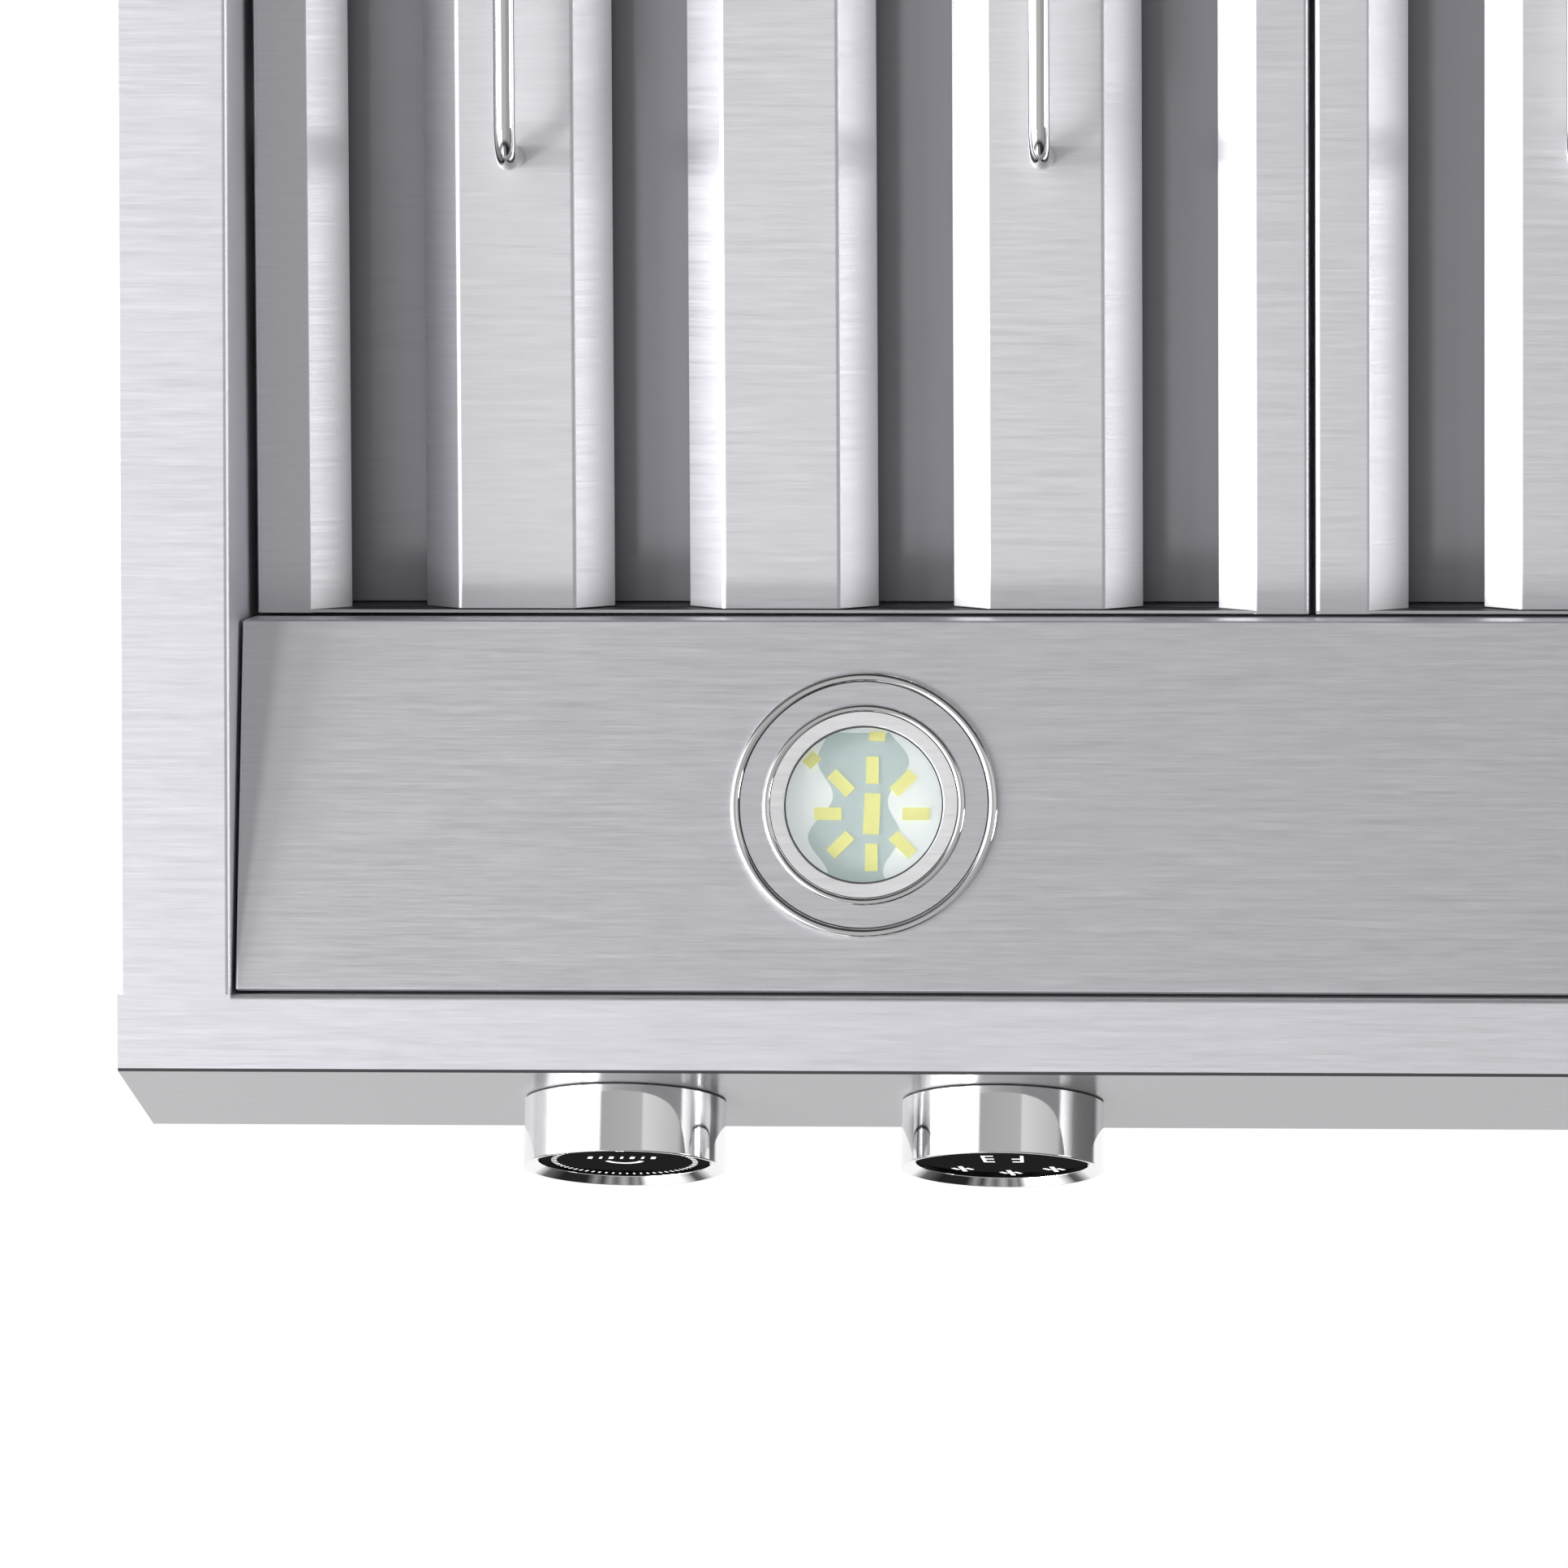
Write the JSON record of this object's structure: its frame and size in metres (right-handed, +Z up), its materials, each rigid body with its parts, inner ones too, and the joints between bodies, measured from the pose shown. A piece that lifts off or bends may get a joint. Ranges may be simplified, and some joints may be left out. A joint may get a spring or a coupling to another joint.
{
  "type": "under cabinet range hood",
  "caption": "Stainless under-cabinet range hood with leaning control fascia, swing-down baffle filters, LED lights, push-and-turn knobs and a double blower.",
  "frame": {"origin": "middle of the top face's rear edge, where the cabinet underside meets the wall", "axes": "+X right when facing the front, +Y back to the wall, +Z up"},
  "size_m": [0.908, 0.5736, 0.304],
  "materials": {
    "brushed_stainless": "satin brushed, grain along the hood's width",
    "chrome": "polished",
    "shaft_steel": "ground",
    "galvanised_steel": "galvanised sheet",
    "black_glass": "gloss black glass over a display",
    "lens_glass": "clear moulded lens",
    "led_board": "pale solder mask with yellow LED chips",
    "dark_plastic": "moulded matt",
    "magnet_ferrite": "cased magnet",
    "motor_paint": "satin dark grey paint"
  },
  "bodies": {
    "hood": {"blower_motor": "motor_paint", "cable_gland": "dark_plastic", "centre_filter_magnet": "magnet_ferrite", "control_box": "galvanised_steel", "control_box_lid": "galvanised_steel", "duct_collar": "galvanised_steel", "front_fascia": "brushed_stainless", "inner_knob_encoder": "dark_plastic", "led_driver": "dark_plastic", "left_filter_magnet": "magnet_ferrite", "left_light_board": "led_board", "left_light_housing": "galvanised_steel", "left_light_inner_ring": "brushed_stainless", "left_light_lens": "lens_glass", "left_light_trim": "brushed_stainless", "left_scroll_housing": "galvanised_steel", "left_side_panel": "brushed_stainless", "light_panel": "brushed_stainless", "motor_bracket": "galvanised_steel", "outer_knob_encoder": "dark_plastic", "rear_ledge": "brushed_stainless", "rear_panel": "brushed_stainless", "right_filter_magnet": "magnet_ferrite", "right_light_board": "led_board", "right_light_housing": "galvanised_steel", "right_light_inner_ring": "brushed_stainless", "right_light_lens": "lens_glass", "right_light_trim": "brushed_stainless", "right_scroll_housing": "galvanised_steel", "right_side_panel": "brushed_stainless", "run_capacitor": "dark_plastic", "top_panel": "brushed_stainless", "upper_front_panel": "brushed_stainless"},
    "left_filter": {"left_filter_frame": "brushed_stainless", "left_filter_left_handle": "chrome", "left_filter_lower_baffles": "brushed_stainless", "left_filter_right_handle": "chrome", "left_filter_upper_baffles": "brushed_stainless"},
    "centre_filter": {"centre_filter_frame": "brushed_stainless", "centre_filter_left_handle": "chrome", "centre_filter_lower_baffles": "brushed_stainless", "centre_filter_right_handle": "chrome", "centre_filter_upper_baffles": "brushed_stainless"},
    "right_filter": {"right_filter_frame": "brushed_stainless", "right_filter_left_handle": "chrome", "right_filter_lower_baffles": "brushed_stainless", "right_filter_right_handle": "chrome", "right_filter_upper_baffles": "brushed_stainless"},
    "blower_rotor": {"left_blower_wheel": "galvanised_steel", "right_blower_wheel": "galvanised_steel", "motor_shaft": "shaft_steel"},
    "damper": {"damper_flap": "galvanised_steel", "damper_rod": "shaft_steel"},
    "outer_knob_push": {"outer_knob_display": "black_glass", "outer_knob_carriage": "dark_plastic"},
    "outer_knob_grip": {"outer_knob_ring": "chrome"},
    "inner_knob_push": {"inner_knob_display": "black_glass", "inner_knob_carriage": "dark_plastic"},
    "inner_knob_grip": {"inner_knob_ring": "chrome"}
  },
  "joints": [
    {"name": "left_filter_swing", "type": "hinge", "parent": "hood", "child": "left_filter", "pos_m": [-0.2817, -0.032, -0.226], "axis": [1, 0, 0], "range_deg": [0, 65]},
    {"name": "centre_filter_swing", "type": "hinge", "parent": "hood", "child": "centre_filter", "pos_m": [0, -0.032, -0.226], "axis": [1, 0, 0], "range_deg": [0, 65]},
    {"name": "right_filter_swing", "type": "hinge", "parent": "hood", "child": "right_filter", "pos_m": [0.2817, -0.032, -0.226], "axis": [1, 0, 0], "range_deg": [0, 65]},
    {"name": "blower_spin", "type": "hinge", "parent": "hood", "child": "blower_rotor", "pos_m": [0, -0.1635, -0.111], "axis": [1, 0, 0], "continuous": true},
    {"name": "damper_swing", "type": "hinge", "parent": "hood", "child": "damper", "pos_m": [0, -0.0825, -0.02], "axis": [-1, 0, 0], "range_deg": [0, 75]},
    {"name": "outer_knob_press", "type": "slide", "parent": "hood", "child": "outer_knob_push", "axis": [0, 0.967, 0.2549], "range_m": [0, 0.0004], "stiffness_N_per_m": 3000, "springref_m": -0.0005},
    {"name": "outer_knob_turn", "type": "hinge", "parent": "outer_knob_push", "child": "outer_knob_grip", "pos_m": [0.323, -0.5491, -0.2153], "axis": [0, -0.967, -0.2549], "continuous": true},
    {"name": "inner_knob_press", "type": "slide", "parent": "hood", "child": "inner_knob_push", "axis": [0, 0.967, 0.2549], "range_m": [0, 0.0004], "stiffness_N_per_m": 3000, "springref_m": -0.0005},
    {"name": "inner_knob_turn", "type": "hinge", "parent": "inner_knob_push", "child": "inner_knob_grip", "pos_m": [0.2225, -0.5491, -0.2153], "axis": [0, -0.967, -0.2549], "continuous": true}
  ]
}
